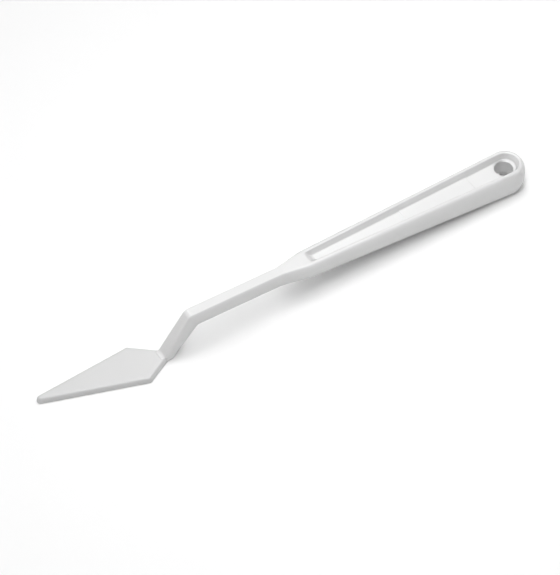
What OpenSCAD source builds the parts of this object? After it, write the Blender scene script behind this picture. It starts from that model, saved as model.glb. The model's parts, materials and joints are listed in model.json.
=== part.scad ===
// Offset palette knife, moulded in one white plastic shot.
// The solids below are the regions of that one moulding: trowel blade, cranked neck,
// square-backed shank and an I-section handle that ends in a hanging eye.
// Units are millimetres. The knife lies as it does on a table: the blade is flat on
// z = 0 and the far end of the handle just touches the table.

/* [Blade] */
// Length from the root line, where the neck stands, to the tip
blade_length = 47.1; // [40:0.1:60]
// Thickness of the flat middle of the blade
blade_thickness = 2.4; // [1.8:0.1:3.2]
// Distance from the centre line to the long straight edge, at its widest corner
straight_edge_offset = 10; // [7:0.1:12]
// Distance from the centre line to the corner of the slanting edge
slant_corner_offset = 7.3; // [5:0.1:10]
// Distance from the centre line to the middle of the tip's rounding
tip_offset = 7.2; // [0:0.1:8.8]
// Distance from the root line forward to the two wide corners
corner_setback = 7.4; // [6:0.1:14]
// Radius of the tip
tip_radius = 1.4; // [1.3:0.1:3]
// Radius of the two wide corners
corner_radius = 1.3; // [1.25:0.05:3]
// Width of the rounding round the upper edge
edge_rounding = 1.15; // [0.3:0.05:1.2]
// Height of the upright land below the rounding
land_height = 0.6; // [0.3:0.1:1.6]

/* [Neck] */
// Height that the neck climbs from the blade's face to the top of the elbow
neck_rise = 15.7; // [10:0.1:24]
// Distance from the root line back to the elbow
neck_run = 11.3; // [8:0.1:18]
// Width of the neck's flat front where it meets the blade
root_front_width = 3.8; // [3:0.1:5.2]
// Full width of the neck where it meets the blade
root_width = 5.4; // [5.2:0.1:7]
// Length of the soft bend on each side of the elbow's mitre
elbow_softness = 1.3; // [0.4:0.1:3]
// Thickness of the neck at its foot, where it is slimmer than the shank
neck_foot_thickness = 4.9; // [4:0.1:7]
// Radius of the fillet between the blade and the neck
root_fillet_radius = 2.2; // [1:0.1:4]
// Rounding under the heel
heel_radius = 1.0; // [0.3:0.1:1.6]

/* [Shank] */
// Length of the straight shank from the elbow to the shoulder
shank_length = 38.5; // [25:0.5:60]
// Width of the shank's flat top
shank_top_width = 3.6; // [2.8:0.1:4.4]
// Full width of the shank
shank_width = 5; // [4.6:0.1:6.5]
// Width of the shank's flat underside
shank_base_width = 3.6; // [2.4:0.1:4.4]
// Height of the shank's section
shank_height = 6.3; // [4.6:0.1:8]

/* [Handle] */
// Length of the shoulder between the shank and the pocket
shoulder_length = 12.2; // [8:0.1:20]
// Distance from the front of the pocket to the centre of the handle's round end
handle_length = 86.9; // [60:0.1:120]
// Width across the rims at the front of the pocket
front_rim_width = 7.3; // [6.6:0.1:9]
// Width across the rims where the round end begins
end_rim_width = 12.1; // [11:0.1:15]
// How far each flank swells beyond its rim
flank_swell = 1.3; // [0.3:0.05:1.8]
// Fullness of every rounded flank: 2 is an ellipse and higher is squarer
flank_fullness = 2.2; // [2:0.1:4]
// Thickness of the handle at the front of the pocket
front_thickness = 7.2; // [5.8:0.1:8]
// Thickness of the handle at its end
end_thickness = 11.5; // [9:0.1:13]
// Height of the rims above the shank's top at the front of the pocket
front_lift = 0.35; // [0:0.05:1.5]
// Height of the rims above the shank's top at the end of the handle
end_lift = 2.1; // [0:0.1:3]

/* [Pocket] */
// Width of each rim's crest
rim_crest = 1.4; // [1:0.05:2]
// Rounding of the rim's inner edge
rim_edge_radius = 0.35; // [0.1:0.05:0.45]
// Depth of the upper and lower pockets at the front
front_depth = 2.1; // [1:0.1:2.4]
// Depth of the upper and lower pockets where the round end begins
end_depth = 2.5; // [1:0.1:3.6]
// Length of the ramp at the front of each pocket
ramp_length = 3.5; // [1:0.1:8]
// Distance from the front of the pocket to the raised pad
pad_start = 41.5; // [20:0.5:50]
// Length of the raised pad
pad_length = 30; // [10:0.5:32]
// Height of the raised pad above the pocket floor
pad_height = 0.25; // [0.1:0.05:0.6]

/* [Hanging hole] */
// Diameter of the hanging hole
hole_diameter = 7; // [4:0.1:7.4]
// Distance from the centre of the round end forward to the middle of the hole
hole_setback = 0.8; // [0:0.1:1.6]
// Size of the rounded lip at each mouth of the hole
lip_size = 0.4; // [0.1:0.05:0.6]
// Distance from the hole's middle forward to where the eye plate begins
eye_reach = 6.2; // [5:0.1:10]

/* [Hidden] */

plastic = "#f1f2f2";      // neutral white
waist = 0.45;             // share of a flank's height that lies above its widest line
flank_steps = 16;         // facets down one flank
edge_steps = 4;           // facets round a rim edge or lip
bend_steps = 8;           // facets round the elbow
flare_steps = 8;          // stations along the shoulder
flare_ease = 0.25;        // 0 gives a straight flare, 1 a full S-curve
base_flat_inset = 0.35;   // the underside rim is this much narrower than the upper one
cut_over = 1;             // cutters reach this far past what they cut
root_face = 0.01;         // thickness of the sliver that ends the blade square at its root
fillet_inset = 0.2;       // the root fillet stops this short of the neck's edges

// Neck line in side view: from the root at the blade's face up to the elbow
neck_angle = atan2(neck_rise, neck_run);
elbow_at = [neck_run, blade_thickness + neck_rise];

// Stations along the handle, measured from the elbow in the handle's own frame
pocket_x = shank_length + shoulder_length;
ramp_x = pocket_x + ramp_length;
end_x = pocket_x + handle_length;
hole_x = end_x - hole_setback;
eye_x = hole_x - eye_reach;

// The handle pitches down until the underside of its end meets the table
end_reach = end_x + end_rim_width / 2 - base_flat_inset;
end_drop = end_thickness - end_lift;
grip_pitch = asin(elbow_at[1] / norm([end_reach, end_drop])) - atan2(end_drop, end_reach);

// Handle sizes at any station between the pocket's front and the round end
function along(x) = min(1, max(0, (x - pocket_x) / handle_length));
function mix(a, b, t) = a + (b - a) * t;
function rim_half(x) = mix(front_rim_width, end_rim_width, along(x)) / 2;
function inner_half(x) = rim_half(x) - rim_crest;
function top_z(x) = mix(front_lift, end_lift, along(x));
function thickness(x) = mix(front_thickness, end_thickness, along(x));
function depth(x) = mix(front_depth, end_depth, along(x));
function floor_z(x) =
    let (at = min(x, eye_x)) top_z(at) - depth(at);
function under_floor_z(x) =
    let (at = min(x, eye_x)) top_z(at) - thickness(at) + depth(at);

// One flank, from the upper edge round the widest line to the lower edge, as [half width, depth].
// It leaves both flats smoothly, as two quarters of a superellipse.
function full(c) = pow(max(0, c), 2 / flank_fullness);
function flank(top, wide, base, high) = [
    for (i = [0 : flank_steps])
        let (t = 180 * i / flank_steps)
            t <= 90
                ? [mix(top, wide, full(sin(t))), high * waist * (1 - full(cos(t)))]
                : [mix(base, wide, full(sin(t))), high * (1 - (1 - waist) * (1 - full(-cos(t))))]
];
// Whole section of the neck, shank and shoulder, as a closed ring of [y, depth]
function stem_ring(top, wide, base, high) =
    let (side = flank(top, wide, base, high))
        concat(side, [for (i = [len(side) - 1 : -1 : 0]) [-side[i][0], side[i][1]]]);
// Section of one rim, from its upright inner wall over the crest and down the flank
function rim_ring(x) =
    let (inner = inner_half(x), high = thickness(x), r = rim_edge_radius)
        concat(
            [for (i = [0 : edge_steps])
                let (t = 90 * i / edge_steps) [inner + r * (1 - cos(t)), r * (1 - sin(t))]],
            flank(rim_half(x), rim_half(x) + flank_swell, rim_half(x) - base_flat_inset, high),
            [for (i = [edge_steps : -1 : 0])
                let (t = 90 * i / edge_steps) [inner + r * (1 - cos(t)), high - r * (1 - sin(t))]]
        );

// Solid through a list of rings that have the same number of points and a convex shape
module skin(rings) {
    n = len(rings[0]);
    last = len(rings) - 1;
    polyhedron(
        points = [for (ring = rings) each ring],
        faces = concat(
            [[for (i = [n - 1 : -1 : 0]) i]],
            [for (k = [0 : last - 1], i = [0 : n - 1], half = [0, 1])
                let (a = k * n + i, b = k * n + (i + 1) % n)
                    half == 0 ? [a, b, b + n] : [a, b + n, a + n]],
            [[for (i = [0 : n - 1]) last * n + i]]
        ),
        convexity = 4
    );
}

// The handle's own frame has the elbow's top as its origin and the shank along +X
module in_handle_frame() {
    translate([elbow_at[0], 0, elbow_at[1]])
        rotate([0, grip_pitch, 0])
            children();
}

// Elbow, worked out in side view: [x, z] directions along the neck and along the shank
neck_dir = [cos(neck_angle), sin(neck_angle)];
shank_dir = [cos(grip_pitch), -sin(grip_pitch)];
neck_in = [neck_dir[1], -neck_dir[0]];      // from the neck's front face into the plastic
shank_in = [shank_dir[1], -shank_dir[0]];   // from the shank's top face into the plastic
mitre = (neck_in + shank_in) / (1 + neck_in * shank_in);
stem = stem_ring(shank_top_width / 2, shank_width / 2, shank_base_width / 2, shank_height);
root = stem_ring(root_front_width / 2, root_width / 2, shank_base_width / 2, neck_foot_thickness);
function side_point(p, y) = [p[0], y, p[1]];
function mitre_point(s) = elbow_at + s[1] * mitre;
// Ring of the stem at t = 0 on the neck side of the elbow to t = 1 on the shank side
function elbow_ring(t) = [
    for (s = stem)
        let (m = mitre_point(s),
             from = m - elbow_softness * neck_dir,
             to = m + elbow_softness * shank_dir)
            side_point((1 - t) * (1 - t) * from + 2 * t * (1 - t) * m + t * t * to, s[0])
];
// Length of the neck's section where a level plane cuts it
function level_length(z) =
    neck_foot_thickness / sin(neck_angle) - (blade_thickness - z) / tan(neck_angle);
// Ring of the neck or heel in a level plane, drawn in by tuck behind and on both sides
function level_ring(z, tuck) = [
    for (s = root)
        [s[1] / neck_foot_thickness * (level_length(z) - tuck),
         s[0] * (1 - 2 * tuck / root_width),
         z]
];

// The blade's edge, from its lower corner up the land and round to the flat face: [outwards, up]
edge_profile = concat(
    [[0, 0]],
    [for (i = [0 : edge_steps])
        let (t = 90 * i / edge_steps)
            [edge_rounding * (cos(t) - 1), mix(land_height, blade_thickness, sin(t))]]
);
// Turned button with that edge
module edge_button(radius) {
    rotate_extrude($fn = 32)
        polygon(concat([[0, 0]], [for (e = edge_profile) [radius + e[0], e[1]]],
                       [[0, blade_thickness]]));
}

module blade() {
    corner_x = -corner_setback - corner_radius;
    root_half = root_front_width / 2 + edge_rounding;
    color(plastic)
        hull() {
            translate([tip_radius - blade_length, tip_offset, 0])
                edge_button(tip_radius);
            translate([corner_x, straight_edge_offset - corner_radius, 0])
                edge_button(corner_radius);
            translate([corner_x, corner_radius - slant_corner_offset, 0])
                edge_button(corner_radius);
            // The root's end face has the same edge, cut square
            rotate([90, 0, -90])
                linear_extrude(root_face)
                    polygon(concat(
                        [for (e = edge_profile) [root_half + e[0], e[1]]],
                        [for (i = [len(edge_profile) - 1 : -1 : 0])
                            [-root_half - edge_profile[i][0], edge_profile[i][1]]]
                    ));
        }
}

module root_fillet() {
    // The fillet's arc touches the blade's face and the neck's front at equal distances
    reach = root_fillet_radius / tan((180 - neck_angle) / 2);
    centre = [-reach, blade_thickness + root_fillet_radius];
    color(plastic)
        translate([0, root_front_width / 2 - fillet_inset, 0])
            rotate([90, 0, 0])
                linear_extrude(root_front_width - 2 * fillet_inset)
                    polygon(concat(
                        [[0, blade_thickness]],
                        [for (i = [edge_steps * 2 : -1 : 0])
                            centre + root_fillet_radius
                                * [sin(neck_angle * i / edge_steps / 2),
                                   -cos(neck_angle * i / edge_steps / 2)]]
                    ));
}

module heel() {
    rounded = [for (i = [0 : edge_steps]) 90 * i / edge_steps];
    color(plastic)
        skin(concat(
            [for (t = rounded) level_ring(heel_radius * (1 - cos(t)), heel_radius * (1 - sin(t)))],
            [level_ring(blade_thickness, 0)]
        ));
}

module neck() {
    color(plastic)
        skin([level_ring(blade_thickness, 0), elbow_ring(0)]);
}

module elbow() {
    color(plastic)
        skin([for (i = [0 : bend_steps]) elbow_ring(i / bend_steps)]);
}

// World ring at the far end of the shank
function shank_end_ring() = [
    for (s = stem)
        side_point(elbow_at + shank_length * shank_dir + s[1] * shank_in, s[0])
];

module shank() {
    color(plastic)
        skin([elbow_ring(1), shank_end_ring()]);
}

module shoulder() {
    function eased(t) = mix(t, t * t * (3 - 2 * t), flare_ease);
    color(plastic)
        in_handle_frame()
            skin([
                for (i = [0 : flare_steps])
                    let (t = i / flare_steps,
                         w = eased(t),
                         x = shank_length + shoulder_length * t,
                         z = front_lift * w,
                         ring = stem_ring(
                             mix(shank_top_width, front_rim_width, w) / 2,
                             mix(shank_width / 2, front_rim_width / 2 + flank_swell, w),
                             mix(shank_base_width / 2, front_rim_width / 2 - base_flat_inset, w),
                             mix(shank_height, front_thickness, w)))
                        [for (s = ring) [x, s[0], z - s[1]]]
            ]);
}

// Straight run of one rim along the pocket, on the +Y side
module rail() {
    skin([for (x = [pocket_x, end_x]) [for (s = rim_ring(x)) [x, s[0], top_z(x) - s[1]]]]);
}

module left_rail() {
    color(plastic)
        in_handle_frame()
            rail();
}

module right_rail() {
    color(plastic)
        in_handle_frame()
            mirror([0, 1, 0])
                rail();
}

module end_loop() {
    color(plastic)
        in_handle_frame()
            translate([end_x, 0, 0])
                rotate([0, 0, -90])
                    rotate_extrude(angle = 180, $fn = 96)
                        polygon([for (s = rim_ring(end_x)) [s[0], end_lift - s[1]]]);
}

// Plate between the rims, from x0 to x1, with the side view given as [x, z] points
module between_rims(side_view, x0, x1) {
    intersection() {
        translate([0, end_rim_width / 2, 0])
            rotate([90, 0, 0])
                linear_extrude(end_rim_width)
                    polygon(side_view);
        translate([0, 0, -end_thickness])
            linear_extrude(2 * end_thickness)
                polygon([[x0, -inner_half(x0)], [x1, -inner_half(x1)],
                         [x1, inner_half(x1)], [x0, inner_half(x0)]]);
    }
}

module front_ramp() {
    color(plastic)
        in_handle_frame()
            between_rims([
                [pocket_x, top_z(pocket_x) - rim_edge_radius],
                [ramp_x, floor_z(ramp_x)],
                [ramp_x, under_floor_z(ramp_x)],
                [pocket_x, top_z(pocket_x) - thickness(pocket_x) + rim_edge_radius]
            ], pocket_x, ramp_x);
}

module web() {
    color(plastic)
        in_handle_frame()
            between_rims([
                [ramp_x, floor_z(ramp_x)],
                [eye_x, floor_z(eye_x)],
                [eye_x, under_floor_z(eye_x)],
                [ramp_x, under_floor_z(ramp_x)]
            ], ramp_x, eye_x);
}

module upper_pad() {
    x0 = pocket_x + pad_start;
    x1 = x0 + pad_length;
    color(plastic)
        in_handle_frame()
            between_rims([[x0, floor_z(x0)], [x0, floor_z(x0) + pad_height],
                          [x1, floor_z(x1) + pad_height], [x1, floor_z(x1)]], x0, x1);
}

module lower_pad() {
    x0 = pocket_x + pad_start;
    x1 = x0 + pad_length;
    color(plastic)
        in_handle_frame()
            between_rims([[x0, under_floor_z(x0)], [x0, under_floor_z(x0) - pad_height],
                          [x1, under_floor_z(x1) - pad_height], [x1, under_floor_z(x1)]], x0, x1);
}

// Turned cutter for the hole, with a rounded lip at each mouth of a plate this thick
module hole_cutter(plate) {
    r = hole_diameter / 2;
    lip = [for (i = [0 : edge_steps]) 90 * i / edge_steps];
    rotate_extrude($fn = 96)
        polygon(concat(
            [[0, -cut_over], [r + lip_size, -cut_over]],
            [for (t = lip) [r + lip_size * (1 - sin(t)), lip_size * (1 - cos(t))]],
            [for (t = lip) [r + lip_size * (1 - cos(t)), plate - lip_size * (1 - sin(t))]],
            [[r + lip_size, plate + cut_over], [0, plate + cut_over]]
        ));
}

module hanging_eye() {
    plate_top = floor_z(end_x);
    plate_base = under_floor_z(end_x);
    color(plastic)
        in_handle_frame()
            difference() {
                translate([0, 0, plate_base])
                    linear_extrude(plate_top - plate_base) {
                        polygon([[eye_x, -inner_half(eye_x)], [end_x, -inner_half(end_x)],
                                 [end_x, inner_half(end_x)], [eye_x, inner_half(eye_x)]]);
                        intersection() {
                            translate([end_x, 0])
                                circle(r = inner_half(end_x), $fn = 96);
                            translate([end_x, -end_rim_width])
                                square([end_rim_width, 2 * end_rim_width]);
                        }
                    }
                translate([hole_x, 0, plate_base])
                    hole_cutter(plate_top - plate_base);
            }
}

// Middle of the knife's plan outline, which the origin sits under
plan_x = [-blade_length,
          elbow_at[0] + max([for (s = rim_ring(end_x))
              (end_x + s[0]) * cos(grip_pitch) + (end_lift - s[1]) * sin(grip_pitch)])];
end_half = end_rim_width / 2 + flank_swell;
plan_y = [-max(end_half, slant_corner_offset), max(end_half, straight_edge_offset)];
plan_middle = [(plan_x[0] + plan_x[1]) / 2, (plan_y[0] + plan_y[1]) / 2];

translate([-plan_middle[0], -plan_middle[1], 0]) {
    blade();
    root_fillet();
    heel();
    neck();
    elbow();
    shank();
    shoulder();
    left_rail();
    right_rail();
    end_loop();
    front_ramp();
    web();
    upper_pad();
    lower_pad();
    hanging_eye();
}
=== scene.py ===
"""One-piece moulded palette knife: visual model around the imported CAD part.

The knife is a single white injection moulding, so its skin is built as two closed meshes: the
trowel blade, and the stem that runs from the heel through the neck, shank and shoulder into the
I-section handle with its hanging hole. Sizes are in millimetres until a mesh is placed.
"""

import json
import logging
import math
from dataclasses import dataclass
from enum import Enum
from typing import Callable

import bmesh
import bpy
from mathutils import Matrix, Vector


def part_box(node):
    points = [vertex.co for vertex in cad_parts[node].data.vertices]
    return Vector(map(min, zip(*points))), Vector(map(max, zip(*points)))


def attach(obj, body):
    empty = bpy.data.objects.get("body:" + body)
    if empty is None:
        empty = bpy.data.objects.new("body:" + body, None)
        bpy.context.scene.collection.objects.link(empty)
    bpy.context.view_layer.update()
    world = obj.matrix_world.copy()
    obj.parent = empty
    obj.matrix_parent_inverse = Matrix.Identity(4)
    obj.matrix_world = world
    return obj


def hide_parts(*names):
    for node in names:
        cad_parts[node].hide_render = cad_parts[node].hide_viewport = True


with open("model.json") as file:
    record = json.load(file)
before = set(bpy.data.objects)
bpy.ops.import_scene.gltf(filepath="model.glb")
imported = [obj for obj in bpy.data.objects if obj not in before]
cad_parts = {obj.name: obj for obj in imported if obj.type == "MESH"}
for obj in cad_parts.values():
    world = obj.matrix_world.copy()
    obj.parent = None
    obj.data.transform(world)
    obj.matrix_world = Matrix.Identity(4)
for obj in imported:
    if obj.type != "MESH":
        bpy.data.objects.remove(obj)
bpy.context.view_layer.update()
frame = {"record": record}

log = logging.getLogger("palette_knife")

MM = 0.001                  # metres in a millimetre
IMAGE_WIDTH = 560           # width of the frame that the camera's focal length is given in
ROOT_BODY = "root"

# Tolerances of the meshes, in millimetres
DOUBLE_MM = 1e-4            # points this close are one point of a finished mesh
WELD_MM = 1e-3              # points this close are welded while the stem is closed
FLAT_MM = 1e-3              # points lower than this lie on the blade's underside
KEY_DIGITS = 4              # decimals that tell two points of a ring apart
NORMAL_WEIGHT = 60          # over 50, so that large faces weigh more in the shading

Point2 = tuple[float, float]
Ring = list[Vector]


def mix(a: float, b: float, t: float) -> float:
    """Value between a and b at share t."""
    return a + (b - a) * t


def ease(t: float) -> float:
    """Smooth step from 0 to 1, clamped outside that."""
    t = min(1.0, max(0.0, t))
    return t * t * (3 - 2 * t)


def quarter_turns(steps: int) -> list[float]:
    """Angles from 0 to a quarter turn, in equal steps."""
    return [math.pi / 2 * i / steps for i in range(steps + 1)]


def point_key(point: Vector) -> tuple[float, ...]:
    """Rounded coordinates of a point, by which a vertex is found again."""
    return tuple(round(c, KEY_DIGITS) for c in point)


def hex_rgba(code: str) -> tuple[float, float, float, float]:
    """Linear colour of an sRGB hex code.

    Args:
        code: six hex digits after a hash sign.

    Returns:
        Linear red, green, blue and an alpha of 1.
    """
    parts = [int(code[i:i + 2], 16) / 255 for i in (1, 3, 5)]
    linear = [c / 12.92 if c <= 0.04045 else ((c + 0.055) / 1.055) ** 2.4 for c in parts]
    return (linear[0], linear[1], linear[2], 1.0)


def add_node(tree: bpy.types.NodeTree, kind: str, settings: dict[str, object],
             links: dict[str, bpy.types.NodeSocket]) -> bpy.types.Node:
    """Adds one shader node.

    Args:
        tree: node tree that gets it.
        kind: node type, such as ShaderNodeTexNoise.
        settings: attribute names or input names with their values.
        links: input names with the output sockets that feed them.

    Returns:
        The new node.
    """
    node = tree.nodes.new(kind)
    for name, value in settings.items():
        if name in node.inputs:
            node.inputs[name].default_value = value
        else:
            setattr(node, name, value)
    for name, output in links.items():
        tree.links.new(output, node.inputs[name])
    return node


class Side(Enum):
    """Which pocket of the I-section a set of points belongs to."""

    UPPER = 1
    LOWER = -1


@dataclass(frozen=True)
class MouldedPlastic:
    """White polystyrene, injection moulded in a finely spark-eroded and part-polished mould.

    The bulk is an even neutral white. The mould's texture breaks the gloss into a soft satin
    sheen, its part-polish leaves a shallow orange peel, and slow flow shading drifts along.
    """

    name: str = "moulded_white_polystyrene"
    body_hex: str = "#dadada"
    shade_hex: str = "#d6d6d6"
    ior: float = 1.55
    roughness_low: float = 0.2
    roughness_high: float = 0.27
    flow_mm: float = 38.0
    flow_detail: float = 3.0
    flow_roughness: float = 0.5
    grain_mm: float = 0.55      # real spark texture is finer; drawn coarse enough to show
    grain_detail: float = 2.0
    orange_peel_mm: float = 3.2
    peel_detail: float = 1.0
    grain_depth_mm: float = 0.006
    peel_depth_mm: float = 0.02

    def build(self) -> bpy.types.Material:
        """Makes the procedural material and returns it."""
        material = bpy.data.materials.new(self.name)
        material.use_nodes = True
        tree = material.node_tree
        tree.nodes.clear()
        place = add_node(tree, "ShaderNodeTexCoord", {}, {}).outputs["Object"]
        flow = add_node(tree, "ShaderNodeTexNoise",
                        {"Scale": 1 / (self.flow_mm * MM), "Detail": self.flow_detail,
                         "Roughness": self.flow_roughness},
                        {"Vector": place}).outputs["Fac"]
        grain = add_node(tree, "ShaderNodeTexNoise",
                         {"Scale": 1 / (self.grain_mm * MM), "Detail": self.grain_detail},
                         {"Vector": place}).outputs["Fac"]
        peel = add_node(tree, "ShaderNodeTexNoise",
                        {"Scale": 1 / (self.orange_peel_mm * MM), "Detail": self.peel_detail},
                        {"Vector": place}).outputs["Fac"]
        tint = add_node(tree, "ShaderNodeMix", {"data_type": "RGBA"}, {"Factor": flow})
        for name, code in (("A", self.body_hex), ("B", self.shade_hex)):
            for socket in tint.inputs:
                if socket.name == name and socket.type == "RGBA":
                    socket.default_value = hex_rgba(code)
        colour = next(s for s in tint.outputs if s.type == "RGBA")
        gloss = add_node(tree, "ShaderNodeMapRange",
                         {"To Min": self.roughness_low, "To Max": self.roughness_high},
                         {"Value": flow}).outputs["Result"]
        waves = add_node(tree, "ShaderNodeBump",
                         {"Strength": 1.0, "Distance": self.peel_depth_mm * MM},
                         {"Height": peel}).outputs["Normal"]
        bump = add_node(tree, "ShaderNodeBump",
                        {"Strength": 1.0, "Distance": self.grain_depth_mm * MM},
                        {"Height": grain, "Normal": waves}).outputs["Normal"]
        shader = add_node(tree, "ShaderNodeBsdfPrincipled", {"IOR": self.ior},
                          {"Base Color": colour, "Roughness": gloss, "Normal": bump})
        add_node(tree, "ShaderNodeOutputMaterial", {}, {"Surface": shader.outputs["BSDF"]})
        return material


@dataclass(frozen=True)
class StudioPaper:
    """Seamless white paper sweep, matte and even, that the knife lies on."""

    name: str = "white_paper_sweep"
    body_hex: str = "#f1f1f1"
    roughness: float = 0.9
    specular: float = 0.1

    def build(self) -> bpy.types.Material:
        """Makes the material and returns it."""
        material = bpy.data.materials.new(self.name)
        material.use_nodes = True
        shader = material.node_tree.nodes["Principled BSDF"]
        shader.inputs["Base Color"].default_value = hex_rgba(self.body_hex)
        shader.inputs["Roughness"].default_value = self.roughness
        shader.inputs["Specular IOR Level"].default_value = self.specular
        return material


@dataclass(frozen=True)
class Place:
    """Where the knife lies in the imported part's frame, in millimetres and radians.

    Attributes:
        root_x: where the blade ends and the neck begins.
        middle_y: middle line of the handle and its hole.
        blade_thickness: thickness of the blade, which lies flat at height 0.
        blade_tip_x: the blade's tip.
        pitch: how far the handle slopes down towards its end.
        hole_radius: radius of the hanging hole.
    """

    root_x: float
    middle_y: float
    blade_thickness: float
    blade_tip_x: float
    pitch: float
    hole_radius: float

    @staticmethod
    def from_frame() -> "Place":
        """Reads the blade's box and the hanging hole's mount."""
        low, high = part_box("blade")
        mount = next(m for m in frame["record"]["mounts"] if m["name"] == "hanging_hole")
        axis = Vector(mount["axis"])
        return Place(
            root_x=high.x / MM,
            middle_y=mount["pos_m"][1] / MM,
            blade_thickness=high.z / MM,
            blade_tip_x=low.x / MM,
            pitch=math.atan2(axis.x, axis.z),
            hole_radius=mount["dims"]["r_mm"],
        )


def finish_mesh(name: str, mesh: bmesh.types.BMesh, material: bpy.types.Material,
                nodes: tuple[str, ...]) -> bpy.types.Object:
    """Turns a finished bmesh in millimetres into a riding piece.

    Args:
        name: the piece's name.
        mesh: closed mesh in millimetres, in the part's frame. It is freed.
        material: finish of the whole piece.
        nodes: CAD nodes that the piece stands for.

    Returns:
        The object, with its place in its mesh.
    """
    bmesh.ops.remove_doubles(mesh, verts=mesh.verts, dist=DOUBLE_MM)
    bmesh.ops.recalc_face_normals(mesh, faces=mesh.faces)
    log.info("%s: %d edges that don't join two faces", name,
             sum(not e.is_manifold for e in mesh.edges))
    bmesh.ops.scale(mesh, vec=Vector((MM, MM, MM)), verts=mesh.verts)
    data = bpy.data.meshes.new(name)
    mesh.to_mesh(data)
    mesh.free()
    data.shade_smooth()
    data.materials.append(material)
    piece = bpy.data.objects.new(name, data)
    bpy.context.scene.collection.objects.link(piece)
    normals = piece.modifiers.new("even_normals", "WEIGHTED_NORMAL")
    normals.weight = NORMAL_WEIGHT
    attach(piece, ROOT_BODY)
    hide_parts(*nodes)
    return piece


@dataclass
class Blade:
    """Flat trowel blade with one straight long edge, one slanting edge and a small round tip.

    Sizes are in millimetres. Offsets are sideways from the handle's middle line, and the
    outline starts at the blade's root.
    """

    place: Place
    straight_edge_offset: float = 10.0
    slant_corner_offset: float = 7.3
    tip_offset: float = 7.2
    corner_setback: float = 7.4
    tip_radius: float = 1.4
    corner_radius: float = 1.3
    root_half_width: float = 3.05
    edge_rounding: float = 1.15     # width of the rounding round the upper face
    edge_segments: int = 8
    land_height: float = 0.6        # upright part of the side, below that rounding
    lower_rounding: float = 0.25
    lower_segments: int = 3
    root_overlap: float = 1.6       # how far the blade runs on inside the neck's foot
    arc_step: float = math.radians(5)
    nodes: tuple[str, ...] = ("blade",)

    def circles(self) -> list[tuple[float, float, float]]:
        """Corner circles of the outline, counter-clockwise from the root, as (x, y, radius)."""
        corner_x = -self.corner_setback - self.corner_radius
        far_y = self.straight_edge_offset - self.corner_radius
        near_y = self.corner_radius - self.slant_corner_offset
        tip_x = self.place.blade_tip_x - self.place.root_x + self.tip_radius

        def run_on(y: float, side: float) -> float:
            """Half width of the outline where its edge ends inside the neck."""
            slope = (abs(y) - self.root_half_width) / -corner_x
            return side * (self.root_half_width - slope * self.root_overlap)

        return [
            (self.root_overlap, run_on(far_y + self.corner_radius, 1), 0.0),
            (corner_x, far_y, self.corner_radius),
            (tip_x, self.tip_offset, self.tip_radius),
            (corner_x, near_y, self.corner_radius),
            (self.root_overlap, run_on(near_y - self.corner_radius, -1), 0.0),
        ]

    def outline(self) -> list[Vector]:
        """Outline of the blade: arcs on the corner circles, joined by their outer tangents."""
        circles = self.circles()
        count = len(circles)

        def leaving(i: int) -> float:
            """Direction of the outward normal on the tangent from circle i to the next."""
            ax, ay, ar = circles[i]
            bx, by, br = circles[(i + 1) % count]
            along = math.atan2(by - ay, bx - ax)
            return along - math.acos((ar - br) / math.hypot(bx - ax, by - ay))

        points: list[Vector] = []
        for i, (x, y, radius) in enumerate(circles):
            start = leaving(i - 1)
            turn = (leaving(i) - start) % (2 * math.pi)
            steps = max(1, round(turn / self.arc_step)) if radius else 0
            for k in range(steps + 1):
                angle = start + (turn * k / steps if steps else 0)
                points.append(Vector((x + radius * math.cos(angle),
                                      y + radius * math.sin(angle), 0)))
        return points

    def build(self, material: bpy.types.Material) -> bpy.types.Object:
        """Extrudes the outline and rounds its edges.

        Args:
            material: finish of the blade.

        Returns:
            The blade's piece.
        """
        mesh = bmesh.new()
        thickness = self.place.blade_thickness
        # The rounding is as wide as it is high until the whole body is stretched in height
        stretch = (thickness - self.land_height) / self.edge_rounding
        corners = [mesh.verts.new(p) for p in self.outline()]
        base = mesh.faces.new(corners)
        raised = bmesh.ops.extrude_face_region(mesh, geom=[base])["geom"]
        top = [v for v in raised if isinstance(v, bmesh.types.BMVert)]
        bmesh.ops.translate(mesh, vec=Vector((0, 0, thickness / stretch)), verts=top)
        rim = [e for e in raised if isinstance(e, bmesh.types.BMEdge)]
        bmesh.ops.bevel(mesh, geom=rim, offset=self.edge_rounding, offset_type="OFFSET",
                        affect="EDGES", segments=self.edge_segments, profile=0.5, material=-1)
        bmesh.ops.scale(mesh, vec=Vector((1, 1, stretch)), verts=mesh.verts)
        lower = [e for e in mesh.edges if all(v.co.z < FLAT_MM for v in e.verts)]
        bmesh.ops.bevel(mesh, geom=lower, offset=self.lower_rounding, offset_type="OFFSET",
                        affect="EDGES", segments=self.lower_segments, profile=0.5, material=-1)
        bmesh.ops.translate(mesh, verts=mesh.verts,
                            vec=Vector((self.place.root_x, self.place.middle_y, 0)))
        return finish_mesh("trowel_blade", mesh, material, self.nodes)


FLOOR_SHARES = (0.0, 1 / 3, 2 / 3)      # points of a pocket's floor, from its middle to its cove
CREST_SHARES = (0.33, 0.67)             # points across a rim's crest
COVE_LIMIT = 0.5                        # most of a pocket's depth that its cove may take
EDGE_LIMIT = 0.45                       # most of a pocket's depth that a rim's edge may take


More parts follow.
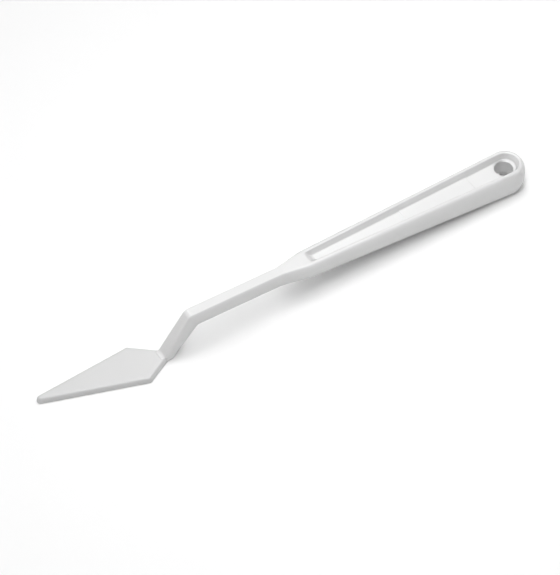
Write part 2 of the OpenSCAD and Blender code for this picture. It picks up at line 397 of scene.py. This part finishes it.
@dataclass
class Section:
    """Half of a cross-section of the stem or handle, from the upper to the lower centre line.

    Offsets are half widths from the middle, and depths are measured down from the rims.

    Attributes:
        top: half width across the upper rims.
        wide: half width across the flanks, at the widest line.
        base: half width across the lower rims.
        high: height from the upper to the lower rims.
        crest: width of a rim's crest, with its inner edge.
        edge: radius of the crest's inner edge.
        cove: width of the cove between a pocket's floor and its wall.
        cove_height: height of that cove.
        draft: how far a pocket's wall leans out.
        depth: depth of each pocket, 0 where the section is solid.
        waist: share of the height at which the widest line lies.
        fullness: power of the flank's superellipse, 2 for a plain ellipse.
        roll: how far in on the upper crest the flank's rounding starts, half as far on the lower one.
        flank_steps: points along the flank.
        arc_steps: points round each cove and edge.
        crown: how far the upper crest bulges in its middle.
    """

    top: float
    wide: float
    base: float
    high: float
    crest: float
    edge: float
    cove: float
    cove_height: float = 0.6
    draft: float = 0.25
    depth: float = 0.0
    waist: float = 0.5
    fullness: float = 2.0
    roll: float = 0.55
    flank_steps: int = 22
    arc_steps: int = 5
    crown: float = 0.02

    def inner(self, half: float, crown: float) -> list[Point2]:
        """Pocket floor, cove, wall, rounded edge and crest on one side of the section.

        Args:
            half: half width of that rim.
            crown: how far the crest bulges in its middle.

        Returns:
            Points from the middle outwards, as (offset, depth).
        """
        wall = half - self.crest
        foot = wall - self.draft - self.cove
        cove = min(self.cove_height, COVE_LIMIT * self.depth)
        edge = min(self.edge, EDGE_LIMIT * self.depth)
        turns = quarter_turns(self.arc_steps)
        floor = [(foot * share, self.depth) for share in FLOOR_SHARES]
        coved = [(foot + self.cove * math.sin(t), self.depth - cove * (1 - math.cos(t)))
                 for t in turns]
        edged = [(wall + self.edge * (1 - math.cos(t)), edge * (1 - math.sin(t)))
                 for t in turns]
        crest = [(mix(wall + self.edge, half - self.roll, share),
                  -crown * 4 * share * (1 - share)) for share in CREST_SHARES]
        return floor + coved + edged + crest

    def flank(self) -> list[Point2]:
        """Outer side from the upper rim round the widest line to the lower rim."""
        points = []
        for i in range(self.flank_steps + 1):
            turn = math.pi * i / self.flank_steps
            out = max(0.0, math.sin(turn)) ** (2 / self.fullness)
            along = abs(math.cos(turn)) ** (2 / self.fullness)
            if turn <= math.pi / 2:
                points.append((mix(self.top - self.roll, self.wide, out),
                               self.high * self.waist * (1 - along)))
            else:
                share = self.waist + (1 - self.waist) * along
                points.append((mix(self.base - self.roll / 2, self.wide, out), self.high * share))
        return points

    def half(self) -> list[Point2]:
        """The whole half section, upper centre line to lower centre line."""
        below = [(y, self.high - d) for y, d in reversed(self.inner(self.base, 0.0))]
        return self.inner(self.top, self.crown) + self.flank() + below

    def rim(self) -> list[Point2]:
        """The half section without its two floors, from the upper cove to the lower one."""
        skip = len(FLOOR_SHARES)
        return self.half()[skip:-skip]


@dataclass
class Stem:
    """Heel, neck, elbow, shank, shoulder and handle as one swept skin with a hanging hole.

    Sizes are in millimetres. Stations are measured from the elbow along the handle's top line,
    and each piece of the sweep has its own number of steps.
    """

    place: Place
    neck_rise: float = 15.7
    neck_run: float = 11.3
    neck_foot_thickness: float = 4.9
    root_front_width: float = 3.8
    root_width: float = 5.4
    root_fillet: float = 2.2
    skirt_share: float = 0.3        # share of the section's height over which the fillet fades
    heel_radius: float = 1.0
    seat_gap: float = 0.02          # the last heel ring lies this far below the blade's face
    elbow_softness: float = 1.3
    shank_length: float = 38.5
    shank_top_width: float = 3.6
    shank_width: float = 5.0
    shank_base_width: float = 3.6
    shank_height: float = 6.3
    shoulder_length: float = 12.2
    flare_ease: float = 0.25        # 0 for a straight flare, 1 for a smooth step
    handle_length: float = 86.9
    front_rim_width: float = 7.3
    end_rim_width: float = 12.1
    flank_swell: float = 1.3
    base_inset: float = 0.6
    front_thickness: float = 7.2
    end_thickness: float = 11.5
    front_lift: float = 0.35
    end_lift: float = 2.1
    rim_crest: float = 1.4
    rim_edge: float = 0.45
    end_edge: float = 0.6
    stem_roll: float = 0.55
    stem_draft: float = 0.25
    floor_cove: float = 0.6
    end_cove: float = 0.75
    floor_cove_height: float = 0.9
    end_cove_height: float = 1.25
    wall_draft: float = 0.6         # each pocket wall leans out by this much
    end_draft: float = 0.7
    front_depth: float = 2.1
    end_depth: float = 2.5
    ramp_length: float = 3.5
    ramp_ease: float = 0.6
    ramp_start: float = 0.02        # first station on the ramp, past the pocket's front
    pad_start: float = 41.5
    pad_length: float = 30.0
    pad_height: float = 0.25
    pad_edge: float = 0.35          # length over which the pad's step rises
    eye_reach: float = 6.2
    hole_setback: float = 0.8
    lip: float = 0.45
    heel_steps: int = 6
    fillet_steps: int = 8
    neck_steps: int = 6
    elbow_steps: int = 12
    shank_steps: int = 10
    shoulder_steps: int = 24
    ramp_steps: int = 16
    pad_steps: int = 6
    grip_steps: int = 24
    step_clearance: float = 0.5     # plain stations keep this far from each step's middle
    rail_steps: int = 4
    end_steps: int = 40
    lip_steps: int = 6
    hole_steps: int = 72
    nodes: tuple[str, ...] = (
        "root_fillet", "heel", "neck", "elbow", "shank", "shoulder", "left_rail", "right_rail",
        "end_loop", "front_ramp", "web", "upper_pad", "lower_pad", "hanging_eye")

    def __post_init__(self) -> None:
        """Works out the stations and directions that the sections hang on."""
        self.pocket_x = self.shank_length + self.shoulder_length
        self.end_x = self.pocket_x + self.handle_length
        self.hole_x = self.end_x - self.hole_setback
        self.eye_x = self.hole_x - self.eye_reach
        self.neck_dir = Vector((self.neck_run, 0, self.neck_rise)).normalized()
        self.neck_angle = math.atan2(self.neck_dir.z, self.neck_dir.x)
        self.grip_dir = Vector((math.cos(self.place.pitch), 0, -math.sin(self.place.pitch)))
        self.grip_in = Vector((-math.sin(self.place.pitch), 0, -math.cos(self.place.pitch)))
        neck_in = Vector((self.neck_dir.z, 0, -self.neck_dir.x))
        self.mitre = (neck_in + self.grip_in) / (1 + neck_in.dot(self.grip_in))
        self.root = Vector((self.place.root_x, self.place.middle_y, self.place.blade_thickness))
        self.elbow = self.root + Vector((self.neck_run, 0, self.neck_rise))

    # Sizes at a station along the handle

    def along(self, x: float) -> float:
        """Share of the way from the pocket's front to the round end."""
        return min(1.0, max(0.0, (x - self.pocket_x) / self.handle_length))

    def lift(self, x: float) -> float:
        """Height of the rims above the shank's top."""
        return mix(self.front_lift, self.end_lift, self.along(x))

    def depth(self, x: float) -> float:
        """Depth of a pocket, with the ramp at its front and the raised pad in its middle."""
        x = min(x, self.eye_x)
        full = mix(self.front_depth, self.end_depth, self.along(x))
        ramp = (x - self.pocket_x) / self.ramp_length
        ramp = mix(ramp, ease(ramp), self.ramp_ease) if ramp < 1 else 1.0
        pad_x = x - self.pocket_x - self.pad_start
        rise = ease(pad_x / self.pad_edge + 0.5)
        fall = ease((pad_x - self.pad_length) / self.pad_edge + 0.5)
        return max(0.0, full * max(0.0, ramp) - self.pad_height * (rise - fall))

    def stem_section(self, top: float, wide: float, base: float, high: float) -> Section:
        """Solid section of the neck, shank or shoulder, whose inner points lie on its flats."""
        shrink = top / (self.front_rim_width / 2)
        return Section(top, wide, base, high, crest=self.rim_crest * shrink,
                       edge=self.rim_edge * shrink, cove=self.floor_cove * shrink,
                       draft=self.stem_draft * shrink, roll=self.stem_roll * shrink, crown=0.0)

    def shank_section(self) -> Section:
        """Section of the shank."""
        return self.stem_section(self.shank_top_width / 2, self.shank_width / 2,
                                 self.shank_base_width / 2, self.shank_height)

    def root_section(self) -> Section:
        """Section of the neck at its foot."""
        return self.stem_section(self.root_front_width / 2, self.root_width / 2,
                                 self.shank_base_width / 2, self.neck_foot_thickness)

    def flare(self, t: float) -> float:
        """How far the shoulder has opened at share t of its length, from 0 to 1."""
        return mix(t, ease(t), self.flare_ease)

    def shoulder_section(self, t: float) -> Section:
        """Section of the shoulder at share t of its length."""
        w = self.flare(t)
        rim = self.front_rim_width / 2
        return self.stem_section(
            mix(self.shank_top_width / 2, rim, w),
            mix(self.shank_width / 2, rim + self.flank_swell, w),
            mix(self.shank_base_width / 2, rim - self.base_inset, w),
            mix(self.shank_height, self.front_thickness, w))

    def handle_section(self, x: float, round_share: float = 0.0) -> Section:
        """Section of the handle.

        Args:
            x: station along the handle.
            round_share: 0 on the straight rails, and up to 1 at the very end, where the edges
                and coves are softer.

        Returns:
            The section, with its pockets.
        """
        share = self.along(x)
        rim = mix(self.front_rim_width, self.end_rim_width, share) / 2
        return Section(
            rim, rim + self.flank_swell, rim - self.base_inset,
            mix(self.front_thickness, self.end_thickness, share),
            crest=self.rim_crest,
            edge=mix(self.rim_edge, self.end_edge, round_share),
            cove=mix(self.floor_cove, self.end_cove, round_share),
            cove_height=mix(self.floor_cove_height, self.end_cove_height, round_share),
            draft=mix(self.wall_draft, self.end_draft, round_share),
            depth=self.depth(x))

    # Rings

    def level_ring(self, z: float, tuck: float) -> Ring:
        """Ring of the neck or heel in a level plane.

        Args:
            z: height above the table.
            tuck: how far it is drawn in behind and on both sides, for the heel's rounding.

        Returns:
            The closed ring's points.
        """
        section = self.root_section()
        rise = self.neck_dir.z
        slope = self.neck_dir.z / self.neck_dir.x
        above = z - self.place.blade_thickness
        front = max(0.0, above / slope)
        length = section.high / rise - tuck + (above / slope if above < 0 else 0.0)
        pushed = self.fillet_push(above)

        def at(y: float, d: float) -> Vector:
            """Point at offset y and depth d of the section."""
            share = d / section.high
            skirt = pushed * max(0.0, 1 - share / self.skirt_share) ** 2
            return Vector((self.root.x + front + share * length - skirt,
                           self.root.y + y * (1 - 2 * tuck / self.root_width), z))

        return self.closed(section, at)

    def fillet_push(self, above: float) -> float:
        """How far the root fillet stands in front of the neck's face at a height above the blade."""
        reach = self.root_fillet * math.tan(self.neck_angle / 2)
        if above < 0 or above > reach * math.sin(self.neck_angle):
            return 0.0
        arc_x = math.sqrt(max(0.0, self.root_fillet ** 2
                              - (self.root_fillet - above) ** 2)) - reach
        return above * self.neck_dir.x / self.neck_dir.z - arc_x

    def elbow_ring(self, t: float) -> Ring:
        """Ring at share t of the soft bend between the neck and the shank."""

        def at(y: float, d: float) -> Vector:
            """Point at offset y and depth d, on a curve round the mitred corner."""
            corner = self.elbow + self.mitre * d
            start = corner - self.neck_dir * self.elbow_softness
            stop = corner + self.grip_dir * self.elbow_softness
            point = start * (1 - t) ** 2 + corner * 2 * t * (1 - t) + stop * t ** 2
            return point + Vector((0, y, 0))

        return self.closed(self.shank_section(), at)

    def grip_ring(self, x: float, lift: float, section: Section) -> Ring:
        """Ring square to the handle's line.

        Args:
            x: station from the elbow.
            lift: height of the section's rims above the shank's top line.
            section: the section at that station.

        Returns:
            The closed ring's points.
        """
        origin = self.elbow + self.grip_dir * x - self.grip_in * lift

        def at(y: float, d: float) -> Vector:
            """Point at offset y and depth d of the section."""
            return origin + self.grip_in * d + Vector((0, y, 0))

        return self.closed(section, at)

    def end_profile(self, angle: float) -> Ring:
        """Open profile of the rim at an angle round the end, from 0 on +Y to pi on -Y."""
        section = self.handle_section(self.end_x, round_share=math.sin(angle) ** 2)
        centre = self.elbow + self.grip_dir * self.end_x - self.grip_in * self.end_lift
        out = self.grip_dir * math.sin(angle) + Vector((0, math.cos(angle), 0))
        return [centre + out * y + self.grip_in * d for y, d in section.rim()]

    def straight_profile(self, x: float, side: float) -> Ring:
        """Open profile of a rim at a station before the round end, on the +Y or -Y side."""
        origin = self.elbow + self.grip_dir * x - self.grip_in * self.lift(x)
        return [origin + Vector((0, side * y, 0)) + self.grip_in * d
                for y, d in self.handle_section(x).rim()]

    @staticmethod
    def closed(section: Section, at: Callable[[float, float], Vector]) -> Ring:
        """Closed ring of a whole section.

        Args:
            section: its half on +Y, which is mirrored back up on -Y.
            at: gives the point at an offset and a depth.

        Returns:
            The closed ring's points.
        """
        half = section.half()
        mirrored = [(-y, d) for y, d in reversed(half[1:-1])]
        return [at(y, d) for y, d in half + mirrored]

    def all_rings(self) -> list[Ring]:
        """Every closed ring from the heel's underside to where the hanging eye begins."""
        thickness = self.place.blade_thickness
        rings = [self.level_ring(self.heel_radius * (1 - math.cos(t)),
                                 self.heel_radius * (1 - math.sin(t)))
                 for t in quarter_turns(self.heel_steps)]
        rings.append(self.level_ring(thickness - self.seat_gap, 0.0))
        for i in range(self.fillet_steps + 1):
            turn = self.neck_angle * i / self.fillet_steps
            rings.append(self.level_ring(thickness + self.root_fillet * (1 - math.cos(turn)), 0.0))
        foot = rings[-1]
        top = self.elbow_ring(0.0)
        rings += [[a.lerp(b, i / self.neck_steps) for a, b in zip(foot, top)]
                  for i in range(1, self.neck_steps)]
        rings += [self.elbow_ring(i / self.elbow_steps) for i in range(self.elbow_steps + 1)]
        rings += [self.grip_ring(x, 0.0, self.shank_section()) for x in self.shank_stations()]
        for i in range(1, self.shoulder_steps + 1):
            t = i / self.shoulder_steps
            rings.append(self.grip_ring(self.shank_length + self.shoulder_length * t,
                                        self.front_lift * self.flare(t),
                                        self.shoulder_section(t)))
        rings += [self.grip_ring(x, self.lift(x), self.handle_section(x))
                  for x in self.handle_stations()]
        return rings

    def shank_stations(self) -> list[float]:
        """Stations of the shank, evenly spaced after the elbow's bend."""
        return [mix(self.elbow_softness, self.shank_length, i / self.shank_steps)
                for i in range(1, self.shank_steps + 1)]

    def handle_stations(self) -> list[float]:
        """Stations of the pocketed handle, close together on the ramp and the pad's steps."""
        start = self.pocket_x + self.pad_start
        stop = start + self.pad_length
        ramp = [self.pocket_x + self.ramp_start]
        ramp += [self.pocket_x + self.ramp_length * i / self.ramp_steps
                 for i in range(1, self.ramp_steps + 1)]
        steps = [edge + self.pad_edge * (i / self.pad_steps - 0.5)
                 for edge in (start, stop) for i in range(self.pad_steps + 1)]
        plain = [mix(ramp[-1], self.eye_x, i / self.grip_steps)
                 for i in range(1, self.grip_steps + 1)]
        kept = [x for x in plain if all(abs(x - s) > self.step_clearance for s in (start, stop))]
        return sorted(ramp + steps + kept)

    # Mesh

    @staticmethod
    def sweep(mesh: bmesh.types.BMesh, edges: list[bmesh.types.BMEdge], ring: Ring,
              source: Ring) -> list[bmesh.types.BMEdge]:
        """Extrudes a chain of edges and moves each new vertex from its source point to the next.

        Args:
            mesh: mesh that grows.
            edges: the chain's edges.
            ring: where the new vertices go.
            source: where the old vertices are, in the same order.

        Returns:
            The new edges.
        """
        grown = bmesh.ops.extrude_edge_only(mesh, edges=edges)["geom"]
        where = {point_key(p): q for p, q in zip(source, ring)}
        for vert in (g for g in grown if isinstance(g, bmesh.types.BMVert)):
            vert.co = where[point_key(vert.co)]
        return [g for g in grown if isinstance(g, bmesh.types.BMEdge)]

    def hole_profile(self) -> list[Point2]:
        """Hole's wall from the upper lip's outer line to the lower one's, as (radius, depth)."""
        radius = self.place.hole_radius
        depth = self.depth(self.eye_x)
        plate = self.plate_thickness()
        upper = [(radius + self.lip * (1 - math.sin(t)), self.lip * (1 - math.cos(t)))
                 for t in quarter_turns(self.lip_steps)]
        lower = [(r, plate - d) for r, d in reversed(upper)]
        return [(r, d + depth) for r, d in upper + lower]

    def plate_thickness(self) -> float:
        """Thickness of the plate round the hole."""
        share = self.along(self.eye_x)
        return (mix(self.front_thickness, self.end_thickness, share)
                - 2 * self.depth(self.eye_x))

    def build(self, material: bpy.types.Material) -> bpy.types.Object:
        """Closes the heel, sweeps the skin, and turns the hole's wall into its end.

        Args:
            material: finish of the whole stem.

        Returns:
            The stem's piece.
        """
        mesh = bmesh.new()
        rings = self.all_rings()
        verts = [mesh.verts.new(p) for p in rings[0]]
        edges = [mesh.edges.new((verts[i - 1], verts[i])) for i in range(len(verts))]
        bmesh.ops.contextual_create(mesh, geom=edges)
        for source, ring in zip(rings, rings[1:]):
            edges = self.sweep(mesh, edges, ring, source)
        self.close_end(mesh, edges)
        return finish_mesh("neck_shank_handle", mesh, material, self.nodes)

    def end_path(self) -> list[Ring]:
        """Rim profiles from the hanging eye's start on +Y round the end to its start on -Y."""
        path = [self.straight_profile(mix(self.eye_x, self.end_x, i / self.rail_steps), 1)
                for i in range(1, self.rail_steps)]
        path += [self.end_profile(math.pi * i / self.end_steps)
                 for i in range(self.end_steps + 1)]
        path += [self.straight_profile(mix(self.end_x, self.eye_x, i / self.rail_steps), -1)
                 for i in range(1, self.rail_steps + 1)]
        return path

    def close_end(self, mesh: bmesh.types.BMesh, edges: list[bmesh.types.BMEdge]) -> None:
        """Sweeps the rim round the end and fills the floors round the hole.

        Args:
            mesh: mesh that grows.
            edges: edges of the last closed ring.
        """
        source = self.straight_profile(self.eye_x, 1)
        keys = {point_key(p) for p in source}
        chain = [e for e in edges if all(point_key(v.co) in keys for v in e.verts)]
        for ring in self.end_path():
            chain = self.sweep(mesh, chain, ring, source)
            source = ring
        bmesh.ops.remove_doubles(mesh, verts=mesh.verts, dist=WELD_MM)
        centre = self.elbow + self.grip_dir * self.hole_x - self.grip_in * self.lift(self.eye_x)
        wall = [mesh.verts.new(centre + self.grip_dir * r + self.grip_in * d)
                for r, d in self.hole_profile()]
        lines = [mesh.edges.new(pair) for pair in zip(wall, wall[1:])]
        bmesh.ops.spin(mesh, geom=wall + lines, cent=centre, axis=self.grip_in,
                       angle=2 * math.pi, steps=self.hole_steps, use_merge=True)
        bmesh.ops.remove_doubles(mesh, verts=mesh.verts, dist=WELD_MM)
        open_edges = [e for e in mesh.edges if e.is_boundary]
        middle = self.depth(self.eye_x) + self.plate_thickness() / 2
        level = centre + self.grip_in * middle
        for side in Side:
            loops = [e for e in open_edges
                     if (e.verts[0].co - level).dot(self.grip_in) * side.value < 0]
            bmesh.ops.triangle_fill(mesh, use_beauty=True, edges=loops,
                                    normal=-self.grip_in * side.value)


@dataclass(frozen=True)
class Softbox:
    """One square softbox of the studio."""

    name: str
    watts: float
    size_m: float
    place_m: tuple[float, float, float]
    aim_m: tuple[float, float, float] = (0.0, 0.0, 0.0)


@dataclass(frozen=True)
class Studio:
    """Pale floor, soft lights and the camera."""

    azimuth: float = math.radians(-33.11)
    elevation: float = math.radians(51.20)
    distance_mm: float = 1775.4
    aim_mm: tuple[float, float, float] = (-9.13, -9.40, 18.1)
    focal_length: float = 5000.0    # in the same unit as IMAGE_WIDTH
    floor_m: float = 6.0
    softboxes: tuple[Softbox, ...] = (
        Softbox("handle_softbox", 0.75, 0.2, (0.1, 0.0, 0.4), (0.1, 0.0, 0.0)),
        Softbox("near_softbox", 7.2, 0.7, (-0.24, -0.45, 1.05)),
        Softbox("far_softbox", 4.6, 0.7, (0.2, 0.45, 1.1)),
        Softbox("blade_end_softbox", 2.7, 0.6, (-0.8, 0.3, 0.7)),
    )

    def camera(self) -> bpy.types.Object:
        """Makes the camera, far off and with a long lens, and makes it the scene's camera."""
        back = Vector((math.sin(self.azimuth) * math.cos(self.elevation),
                       -math.cos(self.azimuth) * math.cos(self.elevation),
                       math.sin(self.elevation)))
        data = bpy.data.cameras.new("camera")
        data.sensor_fit = "HORIZONTAL"
        data.lens = self.focal_length / IMAGE_WIDTH * data.sensor_width
        camera = bpy.data.objects.new("camera", data)
        bpy.context.scene.collection.objects.link(camera)
        camera.location = (Vector(self.aim_mm) + back * self.distance_mm) * MM
        camera.rotation_euler = back.to_track_quat("Z", "Y").to_euler()
        bpy.context.scene.camera = camera
        return camera

    def floor(self) -> bpy.types.Object:
        """Makes the white floor."""
        mesh = bmesh.new()
        bmesh.ops.create_grid(mesh, x_segments=1, y_segments=1, size=self.floor_m / 2)
        data = bpy.data.meshes.new("floor")
        mesh.to_mesh(data)
        mesh.free()
        data.materials.append(StudioPaper().build())
        floor = bpy.data.objects.new("floor", data)
        bpy.context.scene.collection.objects.link(floor)
        return floor

    @staticmethod
    def softbox(box: Softbox) -> None:
        """Adds one square softbox, turned to its aim.

        Args:
            box: the softbox's power, size, place and aim.
        """
        data = bpy.data.lights.new(box.name, "AREA")
        data.shape = "SQUARE"
        data.size = box.size_m
        data.energy = box.watts
        light = bpy.data.objects.new(box.name, data)
        bpy.context.scene.collection.objects.link(light)
        place = Vector(box.place_m)
        light.location = place
        light.rotation_euler = (place - Vector(box.aim_m)).to_track_quat("Z", "Y").to_euler()

    def lights(self) -> None:
        """Hangs the softboxes in a dark surround."""
        for box in self.softboxes:
            self.softbox(box)
        world = bpy.data.worlds.new("dark_surround")
        world.use_nodes = True
        surround = world.node_tree.nodes["Background"]
        surround.inputs["Color"].default_value = (0, 0, 0, 1)
        surround.inputs["Strength"].default_value = 0.0
        bpy.context.scene.world = world

    def build(self) -> None:
        """Sets up the whole studio."""
        self.camera()
        self.floor()
        self.lights()
        bpy.context.scene.view_settings.view_transform = "Standard"


def main() -> None:
    """Builds the studio and the knife."""
    logging.basicConfig(level=logging.INFO, format="%(name)s: %(message)s")
    Studio().build()
    place = Place.from_frame()
    thick = MouldedPlastic()
    # Painted shade: the blade gets a darker copy of the same white plastic, standing in for the
    # greyer look that the thin blade has under these lights
    painted_shade_plastic = MouldedPlastic(name="moulded_white_polystyrene_painted_shade", body_hex="#c8c8c8",
                          shade_hex="#c4c4c4")
    for part, plastic in ((Blade(place), painted_shade_plastic), (Stem(place), thick)):
        piece = part.build(plastic.build())
        log.info("%s: %d faces, stands for %s", piece.name, len(piece.data.polygons),
                 ", ".join(part.nodes))


if __name__ == "__main__":
    main()
